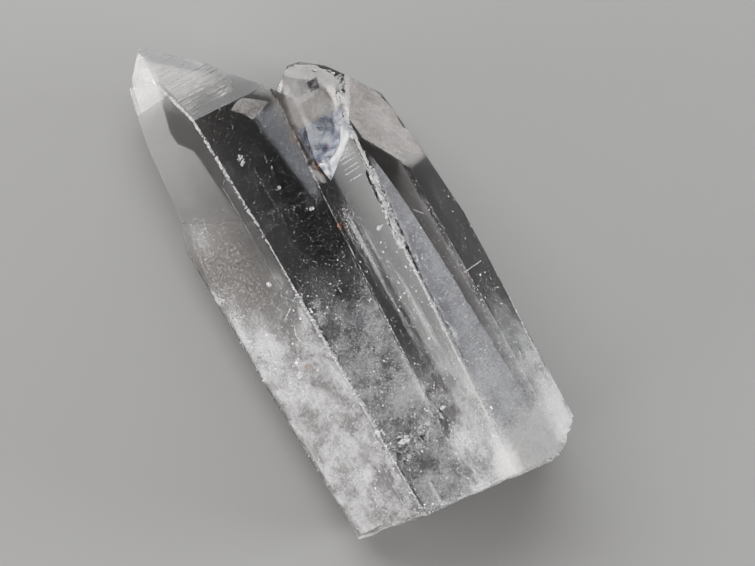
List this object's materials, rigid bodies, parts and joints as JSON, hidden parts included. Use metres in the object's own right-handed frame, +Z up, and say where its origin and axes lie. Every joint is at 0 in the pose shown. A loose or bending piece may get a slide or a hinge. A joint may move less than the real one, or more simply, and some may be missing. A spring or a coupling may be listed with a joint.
{
  "type": "lemurian quartz crystal",
  "caption": "Clear quartz specimen: a tall point and a shorter, chipped point grown together side by side, with growth steps, nicked ridges and a rough broken base, lying on its back.",
  "frame": {"origin": "middle of the bounding box's bottom face, on the floor under the broad back face", "axes": "+Y along the crystals from the broken base to the tips, +Z up from the back face to the front, +X across towards the thicker, shorter crystal"},
  "size_m": [0.0463, 0.1002, 0.0315],
  "materials": {
    "clear_quartz": "clear quartz with natural growth faces, milky towards the base"
  },
  "bodies": {
    "root": {"quartz_crystal": "clear_quartz"}
  },
  "joints": []
}
